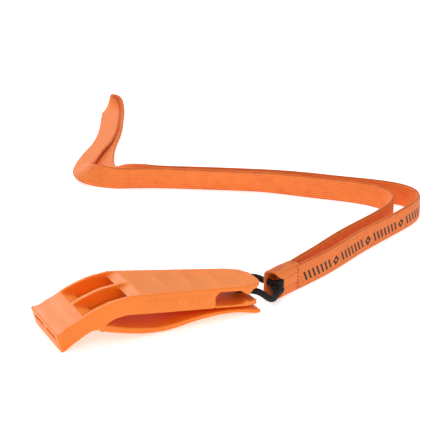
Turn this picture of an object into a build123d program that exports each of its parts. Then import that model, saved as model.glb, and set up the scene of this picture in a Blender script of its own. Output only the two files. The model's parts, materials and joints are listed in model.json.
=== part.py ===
from build123d import *
import os
from math import atan2, degrees, pi, radians, tan

# Pealess twin-chamber safety whistle with a belt clip, a black cord loop and a
# webbing neck strap. Millimetres, +Z up. It rests on a table at z = 0, mouthpiece
# towards -X, and the origin is under the middle of the whistle's box.

# ---- driving dimensions
LENGTH = 72.8
FRONT_X = -LENGTH / 2
TAIL_X = LENGTH / 2
LIP_HALF_WIDTH = 13.4
BODY_HALF_WIDTH = 12.2
TAIL_HALF_WIDTH = 9.1
WALL = 1.4
ROOF = 1.5
FIT_GAP = 0.05
RIB_HALF_WIDTH = 0.8
WINDOW_START_X = -27.2
RAMP_END_X = -22.0
WINDOW_END_X = -12.0
NEAR_CHAMBER_END_X = 6.0
FAR_CHAMBER_END_X = 13.0
TAIL_WALL_X = 16.6
SIDE_HOLE_X = 18.1
PLATEAU_X = -7.0
PLATEAU_Z = 14.2
TAIL_TOP_Z = 9.4
HINGE_X = -20.9
HINGE_Z = 5.55
HINGE_RADIUS = 1.0
HINGE_CLEARANCE = 0.3
POST_X = 31.0
POST_RADIUS = 1.6
CORD_DIAMETER = 2.3
STRAP_WIDTH = 9.0
STRAP_THICKNESS = 1.3
SLEEVE_X = 45.77
SLEEVE_Y = -1.5
SLEEVE_TURN = 29.5
SLEEVE_DEPTH = 5.8
SLEEVE_HEIGHT = 9.9
SLEEVE_WALL = 0.6
KNOT_CENTRE = (44.7, -0.8, 4.4)
STRAIGHT_START_X = -9.0
STRAIGHT_END_X = 29.5
TAIL_ROUND = 3.5
WAIST_ROUND = 4.0
TOOTH_WIDTH = 0.5
WINDOW_CUT_LENGTH = 30.0
POST_BOTTOM_Z = 4.0
POST_HEIGHT = 4.8
TAIL_PLATE_END_X = 33.7
BIG = 60.0

os.makedirs("parts", exist_ok=True)


# ---- shared outlines, as (x, z) of the side view
MOUTH_TOP = [
    (FRONT_X, 6.15), (-35.0, 6.45), (-33.2, 7.15), (-31.2, 8.2), (-29.4, 8.9),
    (-26.0, 10.75), (-21.0, 12.75), (-16.5, 13.95), (-11.8, 14.5), (PLATEAU_X, PLATEAU_Z),
]
CHEEK_BOTTOM = [
    (-5.0, 7.55), (-10.5, 8.25), (-14.5, 8.35), (-17.6, 7.7), (-20.0, 6.5), (-22.4, 5.2),
]
MOUTH_BOTTOM = [
    (-24.6, 5.25), (-27.0, 4.15), (-29.4, 2.75), (-31.6, 1.45), (-33.4, 0.25), (-34.4, 0.0),
]
WINDWAY_ROOF = [(FRONT_X - 2, 3.9), (RAMP_END_X, 8.35)]
FLOOR_LINE = [
    (FRONT_X - 1, 2.85), (-26.0, 6.9), (-20.0, 8.3), (-15.5, 9.6),
    (-12.0, 9.65), (-5.0, 8.85), (TAIL_WALL_X, 6.1), (SIDE_HOLE_X, 5.9),
]


def plateau_z(x):
    """Height of the flat top behind the windows."""
    return PLATEAU_Z + (x - PLATEAU_X) * (TAIL_TOP_Z - PLATEAU_Z) / (TAIL_X - PLATEAU_X)


def plan_half(sign):
    """Corner points of half of the plan outline, mouthpiece first."""
    return [
        (FRONT_X, sign * LIP_HALF_WIDTH), (-33.6, sign * (BODY_HALF_WIDTH + 0.1)),
        (STRAIGHT_START_X, sign * BODY_HALF_WIDTH), (STRAIGHT_END_X, sign * TAIL_HALF_WIDTH),
        (34.2, sign * 7.5), (TAIL_X, sign * 4.0),
    ]


def plan_line():
    """Closed plan outline of the body."""
    Polyline(*plan_half(-1), *reversed(plan_half(1)), close=True)


def top_edge(drop):
    """Side-view line of the top, lowered by drop, mouthpiece to tail."""
    points = [(x, z - drop) for x, z in MOUTH_TOP]
    Spline(*points, tangents=((1, 0.15), (1, (TAIL_TOP_Z - PLATEAU_Z) / (TAIL_X - PLATEAU_X))))
    Line(points[-1], (TAIL_X + 1, plateau_z(TAIL_X + 1) - drop))


def body_side_line():
    """Closed side-view outline of the whistle without its clip."""
    top_edge(0)
    tail_bottom = (TAIL_X + 1, 2.25)
    Line((TAIL_X + 1, plateau_z(TAIL_X + 1)), tail_bottom)
    Line(tail_bottom, CHEEK_BOTTOM[0])
    Spline(*CHEEK_BOTTOM)
    Line(CHEEK_BOTTOM[-1], MOUTH_BOTTOM[0])
    Spline(*MOUTH_BOTTOM)
    Line(MOUTH_BOTTOM[-1], (-35.0, 0.35))
    Line((-35.0, 0.35), MOUTH_TOP[0])


def side_hole_line(hole_top, tooth):
    """Closed side-view outline of the open tail, with or without its snap teeth."""
    if tooth:
        roof = [(27.3, 8.85), (30.3, 6.75), (32.6, 8.35)]
        step = [(30.8, 4.6), (29.4, 5.2), (27.8, 4.45)]
    else:
        roof = [(27.3, 9.0)]
        step = [(30.8, 4.35)]
    Polyline(
        (SIDE_HOLE_X, 5.6), (SIDE_HOLE_X, hole_top - 1.2), (SIDE_HOLE_X + 1.6, hole_top),
        *roof, (TAIL_X + 2, 7.9), (TAIL_X + 2, 4.3), *step, (25.0, 4.55), close=True,
    )


# ---- whole body before it is split into its two mouldings
with BuildPart() as envelope:
    with BuildSketch(Plane.XY):
        with BuildLine():
            plan_line()
        make_face()
    extrude(amount=BIG)
    corners = envelope.edges().filter_by(Axis.Z)
    fillet(corners.filter_by_position(Axis.X, STRAIGHT_END_X - 1, TAIL_X + 1), radius=TAIL_ROUND)
    corners = envelope.edges().filter_by(Axis.Z)
    fillet(corners.filter_by_position(Axis.X, -34, -33), radius=WAIST_ROUND)
    with BuildSketch(Plane.XZ):
        with BuildLine():
            body_side_line()
        make_face()
    extrude(amount=BIG, both=True, mode=Mode.INTERSECT)

# ---- everything open at the tail: a slot from side to side with snap teeth at its edges
with BuildPart() as tail_space:
    with BuildSketch(Plane.XZ):
        with BuildLine():
            side_hole_line(9.9, True)
        make_face()
    extrude(amount=BIG, both=True)
    with BuildSketch(Plane.XZ):
        with BuildLine():
            side_hole_line(9.9, False)
        make_face()
    extrude(amount=TAIL_HALF_WIDTH - WALL - TOOTH_WIDTH, both=True)

# ---- room for the lower moulding between the side walls
with BuildPart() as inner_room:
    with BuildSketch(Plane.XY):
        with BuildLine():
            plan_line()
        make_face()
        offset(amount=-WALL)
        with Locations((FRONT_X, 0)):
            Rectangle(10, 2 * (BODY_HALF_WIDTH - WALL))
        with Locations((BIG / 2 + SIDE_HOLE_X, 0)):
            Rectangle(BIG, BIG, mode=Mode.SUBTRACT)
    extrude(amount=BIG)

# ---- space above the floor: two windways and two chambers of unequal length
with BuildPart() as air_space:
    with BuildSketch(Plane.XZ):
        with BuildLine():
            Polyline(*FLOOR_LINE, (SIDE_HOLE_X, 30), (FRONT_X - 1, 30), close=True)
        make_face()
    extrude(amount=BIG, both=True)
    add(inner_room.part, mode=Mode.INTERSECT)
    with BuildSketch(Plane.XZ):
        with BuildLine():
            top_edge(ROOF)
            roof_end = (TAIL_X + 1, plateau_z(TAIL_X + 1) - ROOF)
            Polyline((FRONT_X, MOUTH_TOP[0][1] - ROOF), (FRONT_X - 5, 4.0), (FRONT_X - 5, -5))
            Polyline((FRONT_X - 5, -5), (TAIL_X + 1, -5), roof_end)
        make_face()
    extrude(amount=BIG, both=True, mode=Mode.INTERSECT)
    Box(2 * BIG, 2 * RIB_HALF_WIDTH, BIG, mode=Mode.SUBTRACT)
    with BuildSketch(Plane.XZ):
        with BuildLine():
            Polyline(*WINDWAY_ROOF, (RAMP_END_X, BIG), (FRONT_X - 2, BIG), close=True)
        make_face()
    extrude(amount=BIG, both=True, mode=Mode.SUBTRACT)
    with Locations((NEAR_CHAMBER_END_X + WALL / 2, -BIG / 2, 0)):
        Box(WALL, BIG, BIG, mode=Mode.SUBTRACT)
    with Locations((FAR_CHAMBER_END_X + WALL / 2, BIG / 2, 0)):
        Box(WALL, BIG, BIG, mode=Mode.SUBTRACT)
    with Locations((TAIL_WALL_X + BIG / 2, 0, 0)):
        Box(BIG, BIG, BIG, mode=Mode.SUBTRACT)

# ---- the two windows, each with its ramp in front and its sounding edge behind
with BuildPart() as windows:
    with BuildSketch(Plane.XZ):
        with BuildLine():
            Polyline(
                (WINDOW_START_X, 30), (WINDOW_START_X, 10.0), (RAMP_END_X, 8.65),
                (RAMP_END_X, 7.6), (-20.0, 8.4), (-15.5, 9.7),
                (WINDOW_END_X + 0.4, 9.7), (WINDOW_END_X, 13.15), (PLATEAU_X - 0.6, 14.35),
                (PLATEAU_X - 0.6, 30), close=True,
            )
        make_face()
    extrude(amount=BIG, both=True)
    with BuildSketch(Plane.XY):
        for side in (-1, 1):
            with Locations((WINDOW_END_X, side * (BODY_HALF_WIDTH - WALL + RIB_HALF_WIDTH) / 2)):
                Rectangle(WINDOW_CUT_LENGTH, BODY_HALF_WIDTH - WALL - RIB_HALF_WIDTH)
    extrude(amount=BIG, mode=Mode.INTERSECT)

# ---- finger grooves: shallow barrels that fade out towards both edges
GROOVE_RADIUS = 22.0
GROOVE_DEPTH = 0.42
GROOVE_HALF = 8.6
GROOVE_FIRST_X = 0.6
GROOVE_PITCH = 9.4
GROOVE_COUNT = 4
grooves = []
for groove_number in range(GROOVE_COUNT):
    groove_x = GROOVE_FIRST_X + groove_number * GROOVE_PITCH
    axis_z = plateau_z(groove_x) + GROOVE_RADIUS - GROOVE_DEPTH
    floor_z = axis_z - GROOVE_RADIUS
    with BuildPart() as groove:
        with BuildSketch(Plane.YZ.offset(groove_x)):
            with BuildLine():
                ThreePointArc(
                    (-GROOVE_HALF, floor_z + GROOVE_DEPTH + 0.02), (0, floor_z),
                    (GROOVE_HALF, floor_z + GROOVE_DEPTH + 0.02),
                )
                Polyline(
                    (GROOVE_HALF, floor_z + GROOVE_DEPTH + 0.02), (GROOVE_HALF, axis_z),
                    (-GROOVE_HALF, axis_z), (-GROOVE_HALF, floor_z + GROOVE_DEPTH + 0.02),
                )
            make_face()
        revolve(axis=Axis((groove_x, 0, axis_z), (0, 1, 0)), revolution_arc=360)
    grooves.append(groove.part)

# ---- upper_shell: top, side walls, rib between the chambers, snap teeth and grip ticks
SPLIT_Z = 6.0
TICK_COUNT = 9
TICK_PITCH = 2.7
TICK_FIRST = 3.0
TICK_SIZE = (0.7, 2.6)
TICK_PROUD = 0.25
TICK_DROP = 3.4
WALL_TURN = degrees(atan2(BODY_HALF_WIDTH - TAIL_HALF_WIDTH, STRAIGHT_END_X - STRAIGHT_START_X))
TOP_SLOPE = degrees(atan2(PLATEAU_Z - TAIL_TOP_Z, TAIL_X - PLATEAU_X))

with BuildPart() as floor_room:
    with BuildSketch(Plane.XZ):
        with BuildLine():
            Polyline(*FLOOR_LINE, (SIDE_HOLE_X, -5), (FRONT_X - 1, -5), close=True)
        make_face()
    extrude(amount=BIG, both=True)
    add(inner_room.part, mode=Mode.INTERSECT)

with BuildPart() as upper_shell:
    add(envelope.part)
    add(grooves, mode=Mode.SUBTRACT)
    add(windows.part, mode=Mode.SUBTRACT)
    add(air_space.part, mode=Mode.SUBTRACT)
    add(floor_room.part, mode=Mode.SUBTRACT)
    add(tail_space.part, mode=Mode.SUBTRACT)
    with Locations((SIDE_HOLE_X + BIG / 2, 0, SPLIT_Z - BIG / 2)):
        Box(BIG, BIG, BIG, mode=Mode.SUBTRACT)
    with Locations(Plane.XZ.location * Location((HINGE_X, HINGE_Z, 0))):
        Cylinder(HINGE_RADIUS + HINGE_CLEARANCE, BIG, mode=Mode.SUBTRACT)
    for side in (-1, 1):
        for count in range(TICK_COUNT):
            along = TICK_FIRST + count * TICK_PITCH
            tick_x = STRAIGHT_START_X + along
            tick_y = side * (BODY_HALF_WIDTH - along * tan(radians(WALL_TURN)))
            tick_z = plateau_z(tick_x) - TICK_DROP
            with Locations(Location((tick_x, tick_y, tick_z), (0, TOP_SLOPE, -side * WALL_TURN))):
                Box(TICK_SIZE[0], 2 * TICK_PROUD, TICK_SIZE[1])
upper_shell.part.label = "upper_shell"
export_step(upper_shell.part, "parts/upper_shell.step")


# ---- lower_shell: windway floor, chamber floor, tail plate, lanyard post, hinge seat
with BuildPart() as tail_plate:
    add(envelope.part)
    with Locations(((SIDE_HOLE_X + TAIL_PLATE_END_X) / 2, 0, SPLIT_Z - BIG / 2)):
        Box(TAIL_PLATE_END_X - SIDE_HOLE_X, BIG, BIG, mode=Mode.INTERSECT)
    add(tail_space.part, mode=Mode.SUBTRACT)

with BuildPart() as lower_shell:
    add(floor_room.part)
    add(envelope.part, mode=Mode.INTERSECT)
    with Locations((FRONT_X + BIG / 2, 0, 0)):
        Box(BIG, 2 * (BODY_HALF_WIDTH - WALL - FIT_GAP), BIG, mode=Mode.INTERSECT)
    with Locations(Plane.XZ.location * Location((HINGE_X, HINGE_Z, 0))):
        Cylinder(HINGE_RADIUS + HINGE_CLEARANCE, BIG, mode=Mode.SUBTRACT)
    add(tail_plate.part)
    with BuildSketch(Plane.XY.offset(POST_BOTTOM_Z)):
        with Locations((POST_X, 0)):
            Circle(POST_RADIUS)
    extrude(amount=POST_HEIGHT)
lower_shell.part.label = "lower_shell"
export_step(lower_shell.part, "parts/lower_shell.step")


# ---- belt_clip: springy tongue with a rolled root, a belly and a turned-down tip
CLIP_TIP_X = 34.8
CLIP_INSET = 0.02
CLIP_CORNER = 0.9
CLIP_UNDER = [
    (HINGE_X, HINGE_Z - HINGE_RADIUS), (-18.9, 3.8), (-15.7, 2.95), (-12.3, 2.2), (-8.0, 1.4),
    (-4.0, 0.9), (0.0, 0.72), (3.5, 0.9), (7.0, 1.35), (11.0, 1.8), (16.0, 2.1), (20.5, 2.12),
    (24.5, 1.85), (28.5, 1.1), (31.6, 0.35), (34.2, 0.0),
]
CLIP_OVER = [
    (CLIP_TIP_X, 0.85), (31.2, 1.9), (27.0, 2.6), (23.0, 3.1), (19.0, 3.35), (15.0, 3.4),
    (10.0, 3.2), (5.0, 2.8), (1.0, 2.5), (-2.0, 2.55), (-6.0, 3.05), (-12.3, 4.3),
    (-15.7, 5.1), (-18.4, 6.0), (HINGE_X, HINGE_Z + HINGE_RADIUS),
]

with BuildPart() as belt_clip:
    with BuildSketch(Plane.XY):
        with BuildLine():
            plan_line()
        make_face()
        with Locations((STRAIGHT_END_X + TAIL_HALF_WIDTH / 2, 0)):
            Rectangle(TAIL_HALF_WIDTH, 2 * TAIL_HALF_WIDTH)
        offset(amount=-CLIP_INSET)
        with Locations((CLIP_TIP_X + BIG / 2, 0)):
            Rectangle(BIG, BIG, mode=Mode.SUBTRACT)
        with Locations((HINGE_X - HINGE_RADIUS - BIG / 2, 0)):
            Rectangle(BIG, BIG, mode=Mode.SUBTRACT)
    extrude(amount=BIG)
    corners = belt_clip.edges().filter_by(Axis.Z)
    fillet(corners.filter_by_position(Axis.X, CLIP_TIP_X - 0.1, CLIP_TIP_X + 0.1), radius=CLIP_CORNER)
    with BuildSketch(Plane.XZ):
        with BuildLine():
            Spline(*CLIP_UNDER)
            Line(CLIP_UNDER[-1], CLIP_OVER[0])
            Spline(*CLIP_OVER)
            ThreePointArc(CLIP_OVER[-1], (HINGE_X - HINGE_RADIUS, HINGE_Z), CLIP_UNDER[0])
        make_face()
    extrude(amount=BIG, both=True, mode=Mode.INTERSECT)
belt_clip.part.label = "belt_clip"
export_step(belt_clip.part, "parts/belt_clip.step")


def bend_radii(points):
    """Radius of the arc at each inner point: 0.45 of its shorter run over tan(half turn)."""
    radii = []
    for before, here, after in zip(points, points[1:], points[2:]):
        run_in = Vector(here) - Vector(before)
        run_out = Vector(after) - Vector(here)
        half_turn = radians(run_in.get_angle(run_out)) / 2
        radii.append(0.45 * min(run_in.length, run_out.length) / tan(half_turn))
    return radii


def report_route(name, points, radii, path, section_area, solid):
    """Print what a swept cord measures, so that its route can be judged."""
    print(name, "points", len(points), "length", round(path.length, 1))
    print(name, "radii", [round(radius, 1) for radius in radii])
    print(name, "volume ratio", round(solid.volume / (section_area * path.length), 4))


# ---- cord_loop: thin braided cord, from the knot through the tail and back
CORD_ROUTE = [
    (44.7, -1.6, 4.2), (42.6, -3.6, 2.3), (39.5, -6.3, 2.6), (35.6, -5.8, 6.2),
    (31.6, -4.1, 6.8), (28.6, -3.0, 7.0), (27.0, -0.6, 7.0), (27.3, 2.2, 7.0),
    (29.6, 3.9, 7.0), (32.8, 4.5, 7.0), (36.2, 6.0, 6.9), (39.6, 6.0, 6.6),
    (42.6, 3.5, 5.3), (44.7, 0.4, 4.8),
]
CORD_RADII = bend_radii(CORD_ROUTE)
with BuildPart() as cord_loop:
    with BuildLine() as cord_path:
        FilletPolyline(*CORD_ROUTE, radius=CORD_RADII)
    with BuildSketch(Plane(CORD_ROUTE[0], z_dir=Vector(CORD_ROUTE[1]) - Vector(CORD_ROUTE[0]))):
        Circle(CORD_DIAMETER / 2)
    sweep(path=cord_path.wires()[0])
cord_loop.part.label = "cord_loop"
export_step(cord_loop.part, "parts/cord_loop.step")
report_route(
    "cord", CORD_ROUTE, CORD_RADII, cord_path.wires()[0], pi * CORD_DIAMETER**2 / 4, cord_loop.part,
)

# ---- cord_knot: the stopper knot that holds the cord in the sleeve's mouth
KNOT_RADIUS = 2.1
KNOT_HEIGHT = 6.6
KNOT_ROUND = 1.4
with BuildPart() as cord_knot:
    with BuildSketch(Plane.XY.offset(KNOT_CENTRE[2] - KNOT_HEIGHT / 2)):
        with Locations(KNOT_CENTRE[:2]):
            Circle(KNOT_RADIUS)
    extrude(amount=KNOT_HEIGHT)
    fillet(cord_knot.edges().filter_by(GeomType.CIRCLE), radius=KNOT_ROUND)
cord_knot.part.label = "cord_knot"
export_step(cord_knot.part, "parts/cord_knot.step")

# ---- strap_end_sleeve: folded webbing over both strap ends, open towards the whistle
SLEEVE_NEAR_LENGTH = 11.2
SLEEVE_OVERHANG = 2.2
sleeve_plane = Plane(
    origin=(SLEEVE_X, SLEEVE_Y, 0), x_dir=Vector(1, 0, 0).rotate(Axis.Z, SLEEVE_TURN),
)
with BuildPart() as strap_end_sleeve:
    with BuildSketch(sleeve_plane):
        with BuildLine():
            Polyline(
                (0, 0), (SLEEVE_NEAR_LENGTH, 0), (SLEEVE_NEAR_LENGTH, SLEEVE_DEPTH),
                (-SLEEVE_OVERHANG, SLEEVE_DEPTH), (-SLEEVE_OVERHANG, SLEEVE_DEPTH - SLEEVE_WALL),
                (0, SLEEVE_DEPTH - SLEEVE_WALL), close=True,
            )
        make_face()
    extrude(amount=SLEEVE_HEIGHT)
    with BuildSketch(sleeve_plane):
        with Locations((0, SLEEVE_DEPTH / 2)):
            Rectangle(BIG, SLEEVE_DEPTH - 2 * SLEEVE_WALL)
    extrude(amount=STRAP_WIDTH + FIT_GAP, mode=Mode.SUBTRACT)
strap_end_sleeve.part.label = "strap_end_sleeve"
export_step(strap_end_sleeve.part, "parts/strap_end_sleeve.step")

# ---- bar_tack: the row of stitches that closes the sleeve on both faces
STITCH_COUNT = 7
STITCH_X = 10.2
STITCH_PITCH = 1.2
STITCH_SIZE = (1.3, 0.3, 0.55)
with BuildPart() as bar_tack:
    for face_y in (-STITCH_SIZE[1] / 2, SLEEVE_DEPTH + STITCH_SIZE[1] / 2):
        for count in range(STITCH_COUNT):
            stitch_z = STITCH_PITCH * (count + 1)
            with Locations(sleeve_plane.location * Location((STITCH_X, face_y, stitch_z))):
                Box(*STITCH_SIZE)
bar_tack.part.label = "bar_tack"
export_step(bar_tack.part, "parts/bar_tack.step")

# ---- neck_strap: one band standing on edge, out and back, both ends in the sleeve
STRAP_ROUTE = [
    (49.06, 1.82), (52.99, 4.02), (56.67, 5.64), (61.8, 8.2), (70.0, 12.5), (80.0, 18.7),
    (91.0, 26.3), (103.0, 32.9), (115.0, 39.6), (126.4, 46.6), (133.0, 52.8), (135.7, 60.2),
    (134.4, 67.6), (130.4, 74.2), (124.6, 80.6), (117.6, 87.4), (110.0, 95.2), (102.4, 102.0),
    (94.4, 108.2), (84.0, 115.0), (63.3, 127.4), (53.6, 132.6), (46.2, 139.0), (42.0, 146.0),
    (41.2, 154.6), (43.8, 165.4), (49.4, 180.2), (55.2, 192.3), (64.5, 210.2), (72.7, 229.9),
    (79.3, 245.8), (81.8, 250.4), (80.9, 253.6), (78.0, 252.4), (77.4, 246.6), (71.0, 230.7),
    (62.8, 211.1), (53.5, 193.2), (43.4, 179.0), (36.2, 166.8), (31.0, 157.2), (29.0, 148.0),
    (32.0, 140.4), (38.8, 134.8), (52.0, 129.95), (61.7, 124.45), (82.4, 111.3), (90.8, 106.3),
    (98.6, 99.0), (106.8, 90.4), (114.4, 83.4), (120.4, 76.6), (124.4, 69.4), (124.9, 61.2),
    (121.6, 53.8), (115.4, 47.6), (106.8, 42.0), (97.0, 36.5), (86.6, 30.3), (76.4, 23.7),
    (67.2, 17.4), (60.6, 13.2), (55.3, 9.6), (51.39, 6.85), (47.46, 4.66),
]
STRAP_RADII = bend_radii([(x, y, 0) for x, y in STRAP_ROUTE])
with BuildPart() as neck_strap:
    with BuildSketch(Plane.XY):
        with BuildLine() as strap_path:
            FilletPolyline(*STRAP_ROUTE, radius=STRAP_RADII)
        trace(line_width=STRAP_THICKNESS)
    extrude(amount=STRAP_WIDTH)
neck_strap.part.label = "neck_strap"
export_step(neck_strap.part, "parts/neck_strap.step")
report_route(
    "strap", STRAP_ROUTE, STRAP_RADII, strap_path.wires()[0], STRAP_THICKNESS * STRAP_WIDTH,
    neck_strap.part,
)
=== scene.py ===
"""Looks for a safety whistle with a belt clip, a cord loop and a neck strap. Metres, +Z up."""

import json
from math import cos, pi, radians, sin

import bpy
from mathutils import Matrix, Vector


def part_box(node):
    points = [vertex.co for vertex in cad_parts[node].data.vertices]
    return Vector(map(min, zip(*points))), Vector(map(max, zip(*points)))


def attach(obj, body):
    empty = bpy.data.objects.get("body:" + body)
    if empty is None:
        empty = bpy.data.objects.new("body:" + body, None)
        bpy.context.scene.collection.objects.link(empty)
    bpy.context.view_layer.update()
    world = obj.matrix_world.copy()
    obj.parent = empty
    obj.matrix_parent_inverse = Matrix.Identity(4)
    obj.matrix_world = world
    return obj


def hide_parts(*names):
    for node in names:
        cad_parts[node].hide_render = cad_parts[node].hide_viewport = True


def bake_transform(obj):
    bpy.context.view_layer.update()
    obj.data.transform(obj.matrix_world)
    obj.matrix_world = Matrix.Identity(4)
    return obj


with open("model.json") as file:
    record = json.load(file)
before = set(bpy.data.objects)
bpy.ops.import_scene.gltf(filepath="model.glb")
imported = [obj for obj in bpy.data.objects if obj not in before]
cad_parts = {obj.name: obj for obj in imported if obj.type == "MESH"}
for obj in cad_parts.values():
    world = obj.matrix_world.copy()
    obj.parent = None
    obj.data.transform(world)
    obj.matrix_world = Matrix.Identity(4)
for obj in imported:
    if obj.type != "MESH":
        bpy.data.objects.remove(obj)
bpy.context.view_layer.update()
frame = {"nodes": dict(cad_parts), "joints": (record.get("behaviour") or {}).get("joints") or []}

# ---- places from the frame
clip_low, clip_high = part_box("belt_clip")
knot_low, knot_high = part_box("cord_knot")

# ---- routes of the two cords, in metres, as in the part's source
CORD_DIAMETER = 0.0023
CORD_ROUTE = [
    (0.0447, -0.0016, 0.0042), (0.0426, -0.0036, 0.0023), (0.0395, -0.0063, 0.0026),
    (0.0356, -0.0058, 0.0062), (0.0316, -0.0041, 0.0068), (0.0286, -0.0030, 0.0070),
    (0.0270, -0.0006, 0.0070), (0.0273, 0.0022, 0.0070), (0.0296, 0.0039, 0.0070),
    (0.0328, 0.0045, 0.0070), (0.0362, 0.0060, 0.0069), (0.0396, 0.0060, 0.0066),
    (0.0426, 0.0035, 0.0053), (0.0447, 0.0004, 0.0048),
]
STRAP_WIDTH = 0.009
STRAP_THICKNESS = 0.0013
STRAP_ROUTE = [
    (0.04906, 0.00182), (0.05299, 0.00402), (0.05667, 0.00564), (0.06180, 0.00820),
    (0.07000, 0.01250), (0.08000, 0.01870), (0.09100, 0.02630), (0.10300, 0.03290),
    (0.11500, 0.03960), (0.12640, 0.04660), (0.13300, 0.05280), (0.13570, 0.06020),
    (0.13440, 0.06760), (0.13040, 0.07420), (0.12460, 0.08060), (0.11760, 0.08740),
    (0.11000, 0.09520), (0.10240, 0.10200), (0.09440, 0.10820), (0.08400, 0.11500),
    (0.06330, 0.12740), (0.05360, 0.13260), (0.04620, 0.13900), (0.04200, 0.14600),
    (0.04120, 0.15460), (0.04380, 0.16540), (0.04940, 0.18020), (0.05520, 0.19230),
    (0.06450, 0.21020), (0.07270, 0.22990), (0.07930, 0.24580), (0.08180, 0.25040),
    (0.08090, 0.25360), (0.07800, 0.25240), (0.07740, 0.24660), (0.07100, 0.23070),
    (0.06280, 0.21110), (0.05350, 0.19320), (0.04340, 0.17900), (0.03620, 0.16680),
    (0.03100, 0.15720), (0.02900, 0.14800), (0.03200, 0.14040), (0.03880, 0.13480),
    (0.05200, 0.12995), (0.06170, 0.12445), (0.08240, 0.11130), (0.09080, 0.10630),
    (0.09860, 0.09900), (0.10680, 0.09040), (0.11440, 0.08340), (0.12040, 0.07660),
    (0.12440, 0.06940), (0.12490, 0.06120), (0.12160, 0.05380), (0.11540, 0.04760),
    (0.10680, 0.04200), (0.09700, 0.03650), (0.08660, 0.03030), (0.07640, 0.02370),
    (0.06720, 0.01740), (0.06060, 0.01320), (0.05530, 0.00960), (0.05139, 0.00685),
    (0.04746, 0.00466),
]


# ---- helpers
def smooth_step(value, low, high):
    """0 below low, 1 above high, and a smooth rise between."""
    share = min(max((value - low) / (high - low), 0.0), 1.0)
    return share * share * (3 - 2 * share)


def spline_points(route, steps):
    """Points along the route's smooth NURBS line."""
    data = bpy.data.curves.new("route", "CURVE")
    data.dimensions = "3D"
    data.resolution_u = steps
    spline = data.splines.new("NURBS")
    spline.points.add(len(route) - 1)
    for point, place in zip(spline.points, route):
        point.co = (*place, 1.0)
    spline.order_u = 3
    spline.use_endpoint_u = True
    line = bpy.data.objects.new("route", data)
    bpy.context.scene.collection.objects.link(line)
    bpy.context.view_layer.update()
    mesh = bpy.data.meshes.new_from_object(line)
    points = [vertex.co.copy() for vertex in mesh.vertices]
    bpy.data.objects.remove(line)
    bpy.data.meshes.remove(mesh)
    return points


def distances(points):
    """How far along the line each point is."""
    total = [0.0]
    for before, after in zip(points, points[1:]):
        total.append(total[-1] + (after - before).length)
    return total


def add_object(name, vertices, faces, uvs=None):
    """A smooth-shaded mesh object, with one UV pair for each face corner if uvs is given."""
    mesh = bpy.data.meshes.new(name)
    mesh.from_pydata([tuple(vertex) for vertex in vertices], [], faces)
    if uvs is not None:
        layer = mesh.uv_layers.new(name="along_across")
        for loop, uv in zip(layer.data, uvs):
            loop.uv = uv
    mesh.shade_smooth()
    mesh.update()
    piece = bpy.data.objects.new(name, mesh)
    bpy.context.scene.collection.objects.link(piece)
    return piece


def skin_rings(name, rings, ring_uvs=None, caps=True):
    """A mesh over a row of closed rings with equal numbers of points."""
    count = len(rings[0])
    vertices = [point for ring in rings for point in ring]
    faces, uvs = [], []
    for row in range(len(rings) - 1):
        for spot in range(count):
            after = (spot + 1) % count
            corners = [(row, spot), (row, after), (row + 1, after), (row + 1, spot)]
            faces.append([r * count + s for r, s in corners])
            if ring_uvs:
                uvs += [ring_uvs(r, s) for r, s in corners]
    if caps:
        for row, flip in ((0, True), (len(rings) - 1, False)):
            ends = [row * count + spot for spot in range(count)]
            faces.append(ends[::-1] if flip else ends)
            if ring_uvs:
                uvs += [ring_uvs(row, spot) for spot in range(count)]
    return add_object(name, vertices, faces, uvs if ring_uvs else None)


def steady_frames(points):
    """For each point: its direction and two sides that turn as little as possible."""
    frames = []
    side = Vector((0, 0, 1))
    for spot in range(len(points)):
        before = points[max(spot - 1, 0)]
        after = points[min(spot + 1, len(points) - 1)]
        ahead = (after - before).normalized()
        side = (side - ahead * side.dot(ahead)).normalized()
        frames.append((ahead, side, ahead.cross(side)))
    return frames


# ---- materials
# The webbing's ribs and picks, and its print: lengths along it, shares across it.
RIB_COUNT = 9
PICK_PITCH = 0.0011
PRINT_START = 0.009
PRINT_END = 0.101
PRINT_PERIOD = 0.0242
BARS_LENGTH = 0.0175
BAR_PITCH = 0.0025
BAR_WIDTH = 0.0011
BAR_SLANT = 0.004
PRINT_LOW = 0.2
PRINT_HIGH = 0.62
LOZENGE_AT = 0.0207
LOZENGE_SIZE = 0.0021
FLOW_SCALE = 90
SKIN_SCALE = 2600
GLOSS_SCALE = 420
FUZZ_SCALE = 3800
DYE_SCALE = 260
BRAID_FIBRE_SCALE = 4200
THREAD_FIBRE_SCALE = 5200


def new_material(name, color, roughness, **values):
    """A material with fixed values on its shader: returns it, its nodes, a linker and the shader."""
    material = bpy.data.materials.new(name)
    material.use_nodes = True
    shader = material.node_tree.nodes["Principled BSDF"]
    shader.inputs["Base Color"].default_value = (*color, 1)
    shader.inputs["Roughness"].default_value = roughness
    for key, value in values.items():
        shader.inputs[key.replace("_", " ")].default_value = value
    return material, material.node_tree.nodes, material.node_tree.links.new, shader


def math_node(nodes, link, operation, first, second=None, third=None):
    """A math node whose inputs are numbers or sockets; returns its output."""
    node = nodes.new("ShaderNodeMath")
    node.operation = operation
    for spot, value in enumerate((first, second, third)):
        if value is None:
            continue
        if isinstance(value, (int, float)):
            node.inputs[spot].default_value = value
        else:
            link(value, node.inputs[spot])
    return node.outputs[0]


def noise(nodes, link, place, scale, detail=2.0, roughness=0.5):
    """A noise texture's value output."""
    texture = nodes.new("ShaderNodeTexNoise")
    texture.inputs["Scale"].default_value = scale
    texture.inputs["Detail"].default_value = detail
    texture.inputs["Roughness"].default_value = roughness
    link(place, texture.inputs["Vector"])
    return texture.outputs[0]


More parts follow.
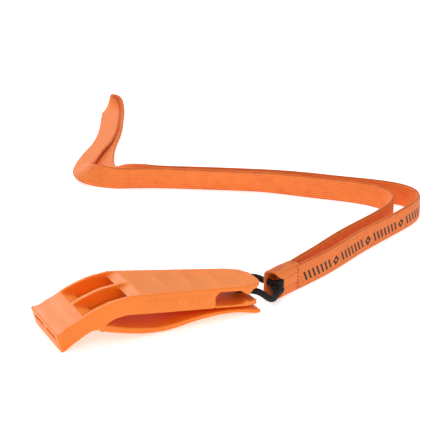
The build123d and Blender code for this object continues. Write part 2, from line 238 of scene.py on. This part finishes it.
def ramp(nodes, link, value, stops):
    """A colour ramp through stops of (position, colour)."""
    node = nodes.new("ShaderNodeValToRGB")
    elements = node.color_ramp.elements
    elements[0].position, elements[0].color = stops[0][0], (*stops[0][1], 1)
    elements[1].position, elements[1].color = stops[-1][0], (*stops[-1][1], 1)
    for position, color in stops[1:-1]:
        elements.new(position).color = (*color, 1)
    link(value, node.inputs[0])
    return node.outputs[0]


def bump(nodes, link, shader, height, distance, strength=1.0):
    """Feeds a height to the shader's normal."""
    node = nodes.new("ShaderNodeBump")
    node.inputs["Distance"].default_value = distance
    node.inputs["Strength"].default_value = strength
    link(height, node.inputs["Height"])
    link(node.outputs[0], shader.inputs["Normal"])


def moulded_plastic(name):
    """Orange plastic: faint flow marks, a fine moulded skin and uneven gloss."""
    material, nodes, link, shader = new_material(
        name, (0.94, 0.21, 0.006), 0.5, Subsurface_Weight=0.35, Subsurface_Scale=0.003, IOR=1.5,
    )
    shader.inputs["Subsurface Radius"].default_value = (1.6, 0.5, 0.15)
    place = nodes.new("ShaderNodeTexCoord").outputs["Object"]
    broad = noise(nodes, link, place, FLOW_SCALE, 3)
    color = ramp(nodes, link, broad, [
        (0.3, (0.92, 0.200, 0.005)), (0.7, (0.96, 0.225, 0.008)),
    ])
    link(color, shader.inputs["Base Color"])
    fine = noise(nodes, link, place, SKIN_SCALE, 2)
    gloss = ramp(nodes, link, noise(nodes, link, place, GLOSS_SCALE, 4), [
        (0.25, (0.40, 0.40, 0.40)), (0.75, (0.54, 0.54, 0.54)),
    ])
    link(gloss, shader.inputs["Roughness"])
    bump(nodes, link, shader, fine, 0.00002, 0.5)
    return material


def woven_band(name, printed):
    """Orange webbing: picks across the band, uneven dye, painted shade between the ribs and, on one
    face, black print.
    """
    material, nodes, link, shader = new_material(
        name, (0.86, 0.19, 0.025), 0.72, Sheen_Weight=0.1, Sheen_Roughness=0.45,
    )
    shader.inputs["Sheen Tint"].default_value = (1.0, 0.55, 0.3, 1)
    uv = nodes.new("ShaderNodeUVMap")
    uv.uv_map = "along_across"
    split = nodes.new("ShaderNodeSeparateXYZ")
    link(uv.outputs[0], split.inputs[0])
    along, across = split.outputs[0], split.outputs[1]
    place = nodes.new("ShaderNodeTexCoord").outputs["Object"]

    # Picks: short floats across the band, set half a step apart in neighbouring ribs.
    rib = math_node(nodes, link, "MULTIPLY", across, RIB_COUNT)
    row = math_node(nodes, link, "FLOOR", rib)
    shifted = math_node(nodes, link, "MULTIPLY_ADD", along, 1 / PICK_PITCH, math_node(
        nodes, link, "MULTIPLY", row, 0.5))
    pick = math_node(nodes, link, "SINE", math_node(nodes, link, "MULTIPLY", shifted, 2 * pi))
    fuzz = noise(nodes, link, place, FUZZ_SCALE, 3)
    height = math_node(nodes, link, "MULTIPLY_ADD", pick, 0.5, fuzz)
    bump(nodes, link, shader, height, 0.00006, 0.7)

    # Painted shade: darker between the ribs, in the grooves where shade would fall; and real dye,
    # uneven over a few millimetres.
    groove = math_node(nodes, link, "ABSOLUTE", math_node(
        nodes, link, "SINE", math_node(nodes, link, "MULTIPLY", rib, pi)))
    uneven = noise(nodes, link, place, DYE_SCALE, 4)
    shade = math_node(nodes, link, "MULTIPLY_ADD", uneven, 0.55, math_node(
        nodes, link, "MULTIPLY", groove, 0.5))
    # The dark stop is mostly painted shade between the ribs; the uneven noise spreads the dye's real
    # tone.
    dye_and_rib_shade = ramp(nodes, link, shade, [
        (0.12, (0.52, 0.085, 0.010)), (0.45, (0.82, 0.170, 0.020)), (0.85, (0.90, 0.225, 0.035)),
    ])
    if not printed:
        link(dye_and_rib_shade, shader.inputs["Base Color"])
        return material

    # Print: groups of slanted bars, each followed by a lozenge.
    start = math_node(nodes, link, "SUBTRACT", along, PRINT_START)
    within = math_node(nodes, link, "MULTIPLY", math_node(
        nodes, link, "GREATER_THAN", start, 0.0), math_node(
        nodes, link, "LESS_THAN", along, PRINT_END))
    phase = math_node(nodes, link, "MODULO", start, PRINT_PERIOD)
    slant = math_node(nodes, link, "MULTIPLY_ADD", across, BAR_SLANT, phase)
    bar = math_node(nodes, link, "LESS_THAN", math_node(
        nodes, link, "MODULO", slant, BAR_PITCH), BAR_WIDTH)
    in_bars = math_node(nodes, link, "LESS_THAN", phase, BARS_LENGTH)
    low = math_node(nodes, link, "GREATER_THAN", across, PRINT_LOW)
    high = math_node(nodes, link, "LESS_THAN", across, PRINT_HIGH)
    bars = math_node(nodes, link, "MULTIPLY", bar, math_node(
        nodes, link, "MULTIPLY", in_bars, math_node(nodes, link, "MULTIPLY", low, high)))
    off_middle = math_node(nodes, link, "ABSOLUTE", math_node(
        nodes, link, "SUBTRACT", phase, LOZENGE_AT))
    off_line = math_node(nodes, link, "ABSOLUTE", math_node(
        nodes, link, "SUBTRACT", across, (PRINT_LOW + PRINT_HIGH) / 2))
    reach = math_node(nodes, link, "MULTIPLY_ADD", off_line, STRAP_WIDTH, off_middle)
    lozenge = math_node(nodes, link, "MULTIPLY", math_node(
        nodes, link, "LESS_THAN", reach, LOZENGE_SIZE), math_node(
        nodes, link, "GREATER_THAN", reach, LOZENGE_SIZE * 0.35))
    marks = math_node(nodes, link, "MULTIPLY", within, math_node(
        nodes, link, "MAXIMUM", bars, lozenge))
    worn = math_node(nodes, link, "MULTIPLY", marks, ramp(nodes, link, math_node(
        nodes, link, "MULTIPLY_ADD", groove, 0.5, math_node(
            nodes, link, "MULTIPLY", fuzz, 0.6)), [(0.15, (0.6,) * 3), (0.4, (0.98,) * 3)]))
    mix = nodes.new("ShaderNodeMix")
    mix.data_type = "RGBA"
    link(worn, mix.inputs["Factor"])
    link(dye_and_rib_shade, mix.inputs["A"])
    mix.inputs["B"].default_value = (0.008, 0.006, 0.005, 1)
    link(mix.outputs["Result"], shader.inputs["Base Color"])
    return material


def black_braid():
    """Black nylon: very dark, with hardly any sheen on its strands."""
    material, nodes, link, shader = new_material(
        "black_braid", (0.004, 0.004, 0.004), 0.6,
        Sheen_Weight=0.02, Specular_IOR_Level=0.25, Sheen_Roughness=0.4,
    )
    place = nodes.new("ShaderNodeTexCoord").outputs["Object"]
    fibres = noise(nodes, link, place, BRAID_FIBRE_SCALE, 3)
    color = ramp(nodes, link, fibres, [(0.3, (0.002, 0.002, 0.002)), (0.7, (0.012, 0.011, 0.012))])
    link(color, shader.inputs["Base Color"])
    bump(nodes, link, shader, fibres, 0.00004, 0.6)
    return material


def sewing_thread():
    """Orange twisted thread."""
    material, nodes, link, shader = new_material(
        "sewing_thread", (0.80, 0.17, 0.03), 0.6, Sheen_Weight=0.3,
    )
    place = nodes.new("ShaderNodeTexCoord").outputs["Object"]
    fibres = noise(nodes, link, place, THREAD_FIBRE_SCALE, 2)
    color = ramp(nodes, link, fibres, [(0.3, (0.62, 0.11, 0.018)), (0.7, (0.88, 0.22, 0.04))])
    link(color, shader.inputs["Base Color"])
    bump(nodes, link, shader, fibres, 0.00003, 0.5)
    return material


shell_plastic = moulded_plastic("shell_plastic")
clip_plastic = moulded_plastic("clip_plastic")
printed_webbing = woven_band("printed_webbing", True)
plain_webbing = woven_band("plain_webbing", False)
braid = black_braid()
thread = sewing_thread()


# ---- the three mouldings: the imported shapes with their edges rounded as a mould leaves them
VOXEL = 0.00026
ROUNDING_STEPS = 5


def rounded_moulding(name, node, extra=()):
    """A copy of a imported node, joined with extra solids, with every edge slightly rounded."""
    piece = bpy.data.objects.new(name, frame["nodes"][node].data.copy())
    bpy.context.scene.collection.objects.link(piece)
    bpy.ops.object.select_all(action="DESELECT")
    for part in (*extra, piece):
        part.select_set(True)
    bpy.context.view_layer.objects.active = piece
    if extra:
        bpy.ops.object.join()
    remesh = piece.modifiers.new("skin", "REMESH")
    remesh.mode = "VOXEL"
    remesh.voxel_size = VOXEL
    soften = piece.modifiers.new("rounding", "SMOOTH")
    soften.factor = 0.5
    soften.iterations = ROUNDING_STEPS
    bpy.context.view_layer.update()
    graph = bpy.context.evaluated_depsgraph_get()
    mesh = bpy.data.meshes.new_from_object(piece.evaluated_get(graph))
    piece.modifiers.clear()
    piece.data = mesh
    mesh.shade_smooth()
    return piece


def finish_piece(piece, material, body, node):
    """Gives a piece its material and, when one is named, its body; hides the imported node that it
    stands for.
    """
    piece.data.materials.clear()
    piece.data.materials.append(material)
    if body:
        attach(piece, body)
    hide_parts(node)


# The clip's root is one with the body, so a round web in the body fills the room round it.
hinge = [joint for joint in frame["joints"] if joint["name"] == "clip_flex"][0]["pos_m"]
WEB_RADIUS = 0.00134
WEB_AROUND = 32
web_half = (clip_high.y - clip_low.y) / 2
web_rings = []
for web_y in (-web_half, web_half):
    web_ring = []
    for spot in range(WEB_AROUND):
        turn = 2 * pi * spot / WEB_AROUND
        web_x = hinge[0] + WEB_RADIUS * sin(turn)
        web_z = hinge[2] + WEB_RADIUS * cos(turn)
        web_ring.append(Vector((web_x, web_y, web_z)))
    web_rings.append(web_ring)
web = skin_rings("web", web_rings)
upper = rounded_moulding("upper_moulding", "upper_shell", [web])
finish_piece(upper, shell_plastic, "whistle", "upper_shell")
lower = rounded_moulding("lower_moulding", "lower_shell")
finish_piece(lower, shell_plastic, "whistle", "lower_shell")

clip = rounded_moulding("clip_tongue", "belt_clip")
finish_piece(clip, clip_plastic, None, "belt_clip")
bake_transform(clip)


# ---- braided cord loop
BRAID_AROUND = 48
BRAID_STRANDS = 4
BRAID_PITCH = 0.0052
BRAID_DEPTH = 0.00016
BRAID_STEP = 0.00012
CORD_STEPS = 24


def braided_tube(name, points, diameter):
    """A tube whose skin is a diamond braid; its points are spaced evenly along the line."""
    rings = []
    for (_, side, other), centre, place in zip(steady_frames(points), points, distances(points)):
        ring = []
        lead = 2 * pi * place / BRAID_PITCH * 2
        for spot in range(BRAID_AROUND):
            turn = 2 * pi * spot / BRAID_AROUND
            left = sin(BRAID_STRANDS * turn + lead)
            right = sin(BRAID_STRANDS * turn - lead)
            radius = diameter / 2 - BRAID_DEPTH * (1 - (abs(left * right)) ** 0.5)
            ring.append(centre + (side * cos(turn) + other * sin(turn)) * radius)
        rings.append(ring)
    return skin_rings(name, rings)


def even_points(points, step):
    """Points along the line at an even spacing."""
    far = distances(points)
    count = max(2, round(far[-1] / step))
    result, spot = [], 0
    for number in range(count + 1):
        goal = far[-1] * number / count
        while spot < len(far) - 2 and far[spot + 1] < goal:
            spot += 1
        share = (goal - far[spot]) / (far[spot + 1] - far[spot])
        result.append(points[spot].lerp(points[spot + 1], share))
    return result


cord_line = even_points(spline_points(CORD_ROUTE, CORD_STEPS), BRAID_STEP)
cord = braided_tube("braided_cord", cord_line, CORD_DIAMETER)
finish_piece(cord, braid, "lanyard", "cord_loop")

# ---- stopper knot: the cord wound on itself in the sleeve's mouth
KNOT_TURNS = 2.6
KNOT_TUBE = 0.0020
KNOT_STEPS = 150
KNOT_FIRST_TURN = 2.2
KNOT_SLACK = 0.0008
KNOT_LEAN = 0.0005
KNOT_SHIFT = Vector((0.0003, 0.0006, 0))
knot_centre = (knot_low + knot_high) / 2 + KNOT_SHIFT
knot_radius = (knot_high.x - knot_low.x) / 2 - KNOT_TUBE / 2
knot_rise = (knot_high.z - knot_low.z) - KNOT_TUBE - KNOT_SLACK
knot_line = []
for number in range(KNOT_STEPS + 1):
    share = number / KNOT_STEPS
    turn = share * KNOT_TURNS * 2 * pi + KNOT_FIRST_TURN
    lean = KNOT_LEAN * sin(turn * 0.5)
    knot_line.append(knot_centre + Vector((
        knot_radius * cos(turn) + lean, knot_radius * sin(turn), (share - 0.5) * knot_rise,
    )))
knot = braided_tube("stopper_knot", even_points(knot_line, BRAID_STEP), KNOT_TUBE)
finish_piece(knot, braid, "lanyard", "cord_knot")


# ---- webbing band: ribbed, on its edge, rolling over flat towards its far fold
RIB_DEPTH = 0.00011
RIB_STEPS = 4
RIB_ROUNDNESS = 0.6
BAND_EDGE = 0.0004
EDGE_THINNING = 0.00022
EDGE_REACH = 0.0006
EDGE_FLAT = 0.35
BAND_STEPS = 9
RUN_LEAN = radians(9)
RUN_LEANS_BETWEEN = (0.12, 0.16)
ROLL = radians(80)
ROLLS_BETWEEN = (0.206, 0.254)
WOBBLES = ((radians(2.2), 61, 0), (radians(1.5), 143, 1))
WOBBLES_BETWEEN = (0.012, 0.05)
FOLD_HALF = 0.013
STACK_LIFT = 0.00155


def band_section():
    """The band's cross-section as (across, out, share across, face), bottom to top and back."""
    half_width, half_thick = STRAP_WIDTH / 2, STRAP_THICKNESS / 2
    steps = RIB_COUNT * RIB_STEPS
    section = []
    for face in (-1, 1):
        for step in range(steps + 1):
            share = step / steps
            if face > 0:
                share = 1 - share
            across = (share - 0.5) * (STRAP_WIDTH - 2 * BAND_EDGE)
            groove = RIB_DEPTH * (1 - abs(sin(share * RIB_COUNT * pi)) ** RIB_ROUNDNESS)
            near_edge = half_width - BAND_EDGE - abs(across)
            narrowing = EDGE_THINNING * max(0.0, 1 - near_edge / EDGE_REACH) ** 2
            section.append((across, face * (half_thick - groove - narrowing), share, face))
        for side in (face, -face):
            depth = side * half_thick * EDGE_FLAT
            section.append((-face * half_width, depth, 0.5 - face * 0.5, side))
    return section


def from_both_ends(place, length, between):
    """0 near both ends of a line, 1 in its middle, rising between two distances from the ends."""
    return min(smooth_step(place, *between), smooth_step(length - place, *between))


def lean_at(place, length, fold):
    """How far the band leans to the left of its way, at a place along it."""
    run = RUN_LEAN * from_both_ends(place, length, RUN_LEANS_BETWEEN)
    rolled = from_both_ends(place, length, ROLLS_BETWEEN)
    wobble = sum(size * sin(place * pace + first) for size, pace, first in WOBBLES)
    loose = from_both_ends(place, length, WOBBLES_BETWEEN) * (1 - rolled)
    lean = run * (1 - rolled) - ROLL * rolled + wobble * loose
    return lean * (1 - 2 * smooth_step(place, fold - FOLD_HALF, fold + FOLD_HALF))


def webbing_band():
    """The neck strap's mesh and the line that it follows."""
    flat_line = spline_points([(x, y, STRAP_WIDTH / 2) for x, y in STRAP_ROUTE], BAND_STEPS)
    far = distances(flat_line)
    fold = far[max(range(len(flat_line)), key=lambda spot: flat_line[spot].y)]
    section = band_section()
    rings, centres = [], []
    for spot, centre in enumerate(flat_line):
        before = flat_line[max(spot - 1, 0)]
        after = flat_line[min(spot + 1, len(flat_line) - 1)]
        ahead = (after - before).normalized()
        left = Vector((0, 0, 1)).cross(ahead)
        lean = lean_at(far[spot], far[-1], fold)
        up = Vector((0, 0, 1)) * cos(lean) + left * sin(lean)
        out = left * cos(lean) - Vector((0, 0, 1)) * sin(lean)
        height = STRAP_WIDTH / 2 * abs(cos(lean)) + STRAP_THICKNESS / 2 * abs(sin(lean))
        on_top = smooth_step(far[spot], fold, fold + FOLD_HALF)
        height += STACK_LIFT * on_top * from_both_ends(far[spot], far[-1], ROLLS_BETWEEN)
        middle = Vector((centre.x, centre.y, height))
        centres.append(middle)
        rings.append([middle + up * across + out * depth for across, depth, _, _ in section])

    def band_uv(row, spot):
        _, _, share, face = section[spot]
        return far[row], share if face < 0 else share + 2

    return skin_rings("webbing_band", rings, band_uv), centres


band, band_line = webbing_band()
finish_piece(band, printed_webbing, "lanyard", "neck_strap")

# ---- end sleeve: webbing folded over both strap ends, with an open mouth
SLEEVE_ORIGIN = Vector((0.04577, -0.0015, 0.0))
SLEEVE_TURN = radians(29.5)
SLEEVE_DEPTH = 0.0058
SLEEVE_HEIGHT = 0.0099
SLEEVE_WALL = 0.0006
SLEEVE_END = 0.0112
SLEEVE_OVERHANG = 0.0022
SLEEVE_AROUND = 132
SLEEVE_ALONG = 46
SLEEVE_SQUARENESS = 0.42
SLEEVE_RIB_DEPTH = 0.00012
SLEEVE_RIB_PITCH = 0.00105
SEAM_AT = 0.0102
SEAM_HALF = 0.0005
SEAM_DIP = 0.00018
PINCH_START = 0.0045
PINCH_IN = 0.0001
PINCH_DOWN = 0.0003
RIB_BEND_START = 0.005
RIB_BEND = 0.0016
RIM_MIDDLE = 0.0018
RIM_TOP_REACH = 0.0035
RIM_BOTTOM_REACH = 0.0018
sleeve_ahead = Vector((cos(SLEEVE_TURN), sin(SLEEVE_TURN), 0))
sleeve_back = Vector((-sin(SLEEVE_TURN), cos(SLEEVE_TURN), 0))


def near_rim(z):
    """Where the near wall begins: scooped out in the middle and reaching forward at the top."""
    top = RIM_TOP_REACH * smooth_step(z, 0.1, 1.0)
    bottom = RIM_BOTTOM_REACH * smooth_step(-z, 0.3, 1.0)
    return RIM_MIDDLE - top - bottom


def squared(value):
    """Pushes a sine or cosine outwards, so that a round becomes a rounded square."""
    return (abs(value) ** SLEEVE_SQUARENESS) * (1 if value > 0 else -1)


def sleeve_ring(shrink, share):
    """One closed ring of the sleeve. shrink moves it inwards; share runs from mouth to end."""
    ring = []
    for spot in range(SLEEVE_AROUND):
        turn = 2 * pi * spot / SLEEVE_AROUND
        x, z = squared(cos(turn)), squared(sin(turn))
        far_share = smooth_step(x, -0.9, 0.5)
        start = near_rim(z) * (1 - far_share) - SLEEVE_OVERHANG * far_share
        along = start + (SLEEVE_END - start) * share
        pinch = smooth_step(along, PINCH_START, SEAM_AT)
        seam = max(0.0, 1 - abs(along - SEAM_AT) / SEAM_HALF)
        half_depth = SLEEVE_DEPTH / 2 - shrink - PINCH_IN * pinch - SEAM_DIP * seam
        half_height = SLEEVE_HEIGHT / 2 - shrink - PINCH_DOWN * pinch
        bend = RIB_BEND * smooth_step(along, RIB_BEND_START, SEAM_AT)
        rib = 0.0
        if shrink == 0:
            wave = abs(sin((z * half_height + bend) / SLEEVE_RIB_PITCH * pi))
            rib = SLEEVE_RIB_DEPTH * (1 - wave ** RIB_ROUNDNESS)
        place = SLEEVE_ORIGIN + sleeve_ahead * along
        place = place + sleeve_back * (SLEEVE_DEPTH / 2 + x * (half_depth - rib))
        ring.append(place + Vector((0, 0, SLEEVE_HEIGHT / 2 + z * half_height)))
    return ring


def end_sleeve():
    """The sleeve's closed mesh: outer skin, rim, inner skin."""
    rings = [sleeve_ring(0, step / SLEEVE_ALONG) for step in range(SLEEVE_ALONG, -1, -1)]
    rings.append(sleeve_ring(SLEEVE_WALL * 0.5, -0.02))
    rings += [sleeve_ring(SLEEVE_WALL, step / SLEEVE_ALONG) for step in range(SLEEVE_ALONG + 1)]
    rings.append(rings[0])

    def sleeve_uv(row, spot):
        turn = 2 * pi * (spot % SLEEVE_AROUND) / SLEEVE_AROUND
        step = row if row <= SLEEVE_ALONG else 2 * SLEEVE_ALONG + 2 - row
        return 0.0005 * step, 0.5 + 0.5 * sin(turn)

    return skin_rings("end_sleeve", rings, sleeve_uv, caps=False)


sleeve = end_sleeve()
finish_piece(sleeve, plain_webbing, "lanyard", "strap_end_sleeve")

# ---- seam stitches: short threads in a row on both faces
STITCH_COUNT = 7
STITCH_RADIUS = 0.00022
STITCH_HALF = 0.00055
STITCH_PITCH = 0.0012
STITCH_SUNK = 0.00022
STITCH_SLANT = 0.0002
STITCH_END_RADIUS = 0.00002
STITCH_ROWS = 9
STITCH_AROUND = 8


def stitch_ring(side, number, row):
    """One ring of a thread: thinner and lower towards the thread's ends."""
    share = row / (STITCH_ROWS - 1) * 2 - 1
    thick = STITCH_RADIUS * (1 - abs(share) ** 3) ** 0.5 + STITCH_END_RADIUS
    lift = side * STITCH_RADIUS * (1 - share * share)
    depth = SLEEVE_DEPTH / 2 + side * (SLEEVE_DEPTH / 2 - STITCH_SUNK)
    height = STITCH_PITCH * (number + 1)
    ring = []
    for spot in range(STITCH_AROUND):
        turn = 2 * pi * spot / STITCH_AROUND
        place = SLEEVE_ORIGIN + sleeve_ahead * (SEAM_AT + share * STITCH_HALF)
        place = place + sleeve_back * (depth + lift + thick * cos(turn))
        rise = height + thick * sin(turn) + share * STITCH_SLANT
        ring.append(place + Vector((0, 0, rise)))
    return ring


def seam_stitches():
    """Two rows of plump threads, pulled down at their ends."""
    vertices, faces = [], []
    for side in (-1, 1):
        for number in range(STITCH_COUNT):
            base = len(vertices)
            for row in range(STITCH_ROWS):
                vertices += stitch_ring(side, number, row)
            for row in range(STITCH_ROWS - 1):
                low = base + row * STITCH_AROUND
                for spot in range(STITCH_AROUND):
                    after = (spot + 1) % STITCH_AROUND
                    high = low + STITCH_AROUND
                    faces.append([low + spot, low + after, high + after, high + spot])
            faces.append([base + spot for spot in range(STITCH_AROUND)][::-1])
            last = base + (STITCH_ROWS - 1) * STITCH_AROUND
            faces.append([last + spot for spot in range(STITCH_AROUND)])
    return add_object("seam_stitches", vertices, faces)


stitches = seam_stitches()
finish_piece(stitches, thread, "lanyard", "bar_tack")

# ---- floor, light and camera
FLOOR_HALF = 3.0
floor = add_object(
    "floor",
    [(-FLOOR_HALF, -FLOOR_HALF, 0), (FLOOR_HALF, -FLOOR_HALF, 0),
     (FLOOR_HALF, FLOOR_HALF, 0), (-FLOOR_HALF, FLOOR_HALF, 0)],
    [(0, 1, 2, 3)],
)
floor_paint = new_material(
    "floor_paint", (0.95, 0.95, 0.95), 0.9, Emission_Color=(1, 1, 1, 1), Emission_Strength=0.52,
)[0]
floor.data.materials.append(floor_paint)

world = bpy.data.worlds.new("studio")
world.use_nodes = True
world.node_tree.nodes["Background"].inputs["Color"].default_value = (1, 1, 1, 1)
world.node_tree.nodes["Background"].inputs["Strength"].default_value = 0.55
bpy.context.scene.world = world
bpy.context.scene.view_settings.view_transform = "Standard"


def soft_light(name, place, target, size, power):
    """A square lamp at place, facing target."""
    data = bpy.data.lights.new(name, "AREA")
    data.size = size
    data.energy = power
    lamp = bpy.data.objects.new(name, data)
    lamp.location = place
    lamp.rotation_euler = (Vector(target) - Vector(place)).to_track_quat("-Z", "Y").to_euler()
    bpy.context.scene.collection.objects.link(lamp)


soft_light("overhead", (0.1, 0.35, 0.7), (0.02, 0.05, 0), 0.6, 2.5)
soft_light("front_fill", (-0.35, -0.5, 0.45), (0.03, 0.05, 0), 0.4, 1.0)
soft_light("low_back", (0.0, 0.8, 0.26), (0.0, 0.0, 0.01), 0.3, 1.3)

camera_data = bpy.data.cameras.new("camera")
camera_data.lens = 116.53
camera_data.sensor_width = 36
camera_data.clip_start = 0.01
camera = bpy.data.objects.new("camera", camera_data)
camera.location = (-0.158006, -0.401974, 0.182050)
camera.rotation_euler = (radians(70.9095), 0, radians(-24.528))
bpy.context.scene.collection.objects.link(camera)
bpy.context.scene.camera = camera

bpy.context.view_layer.update()
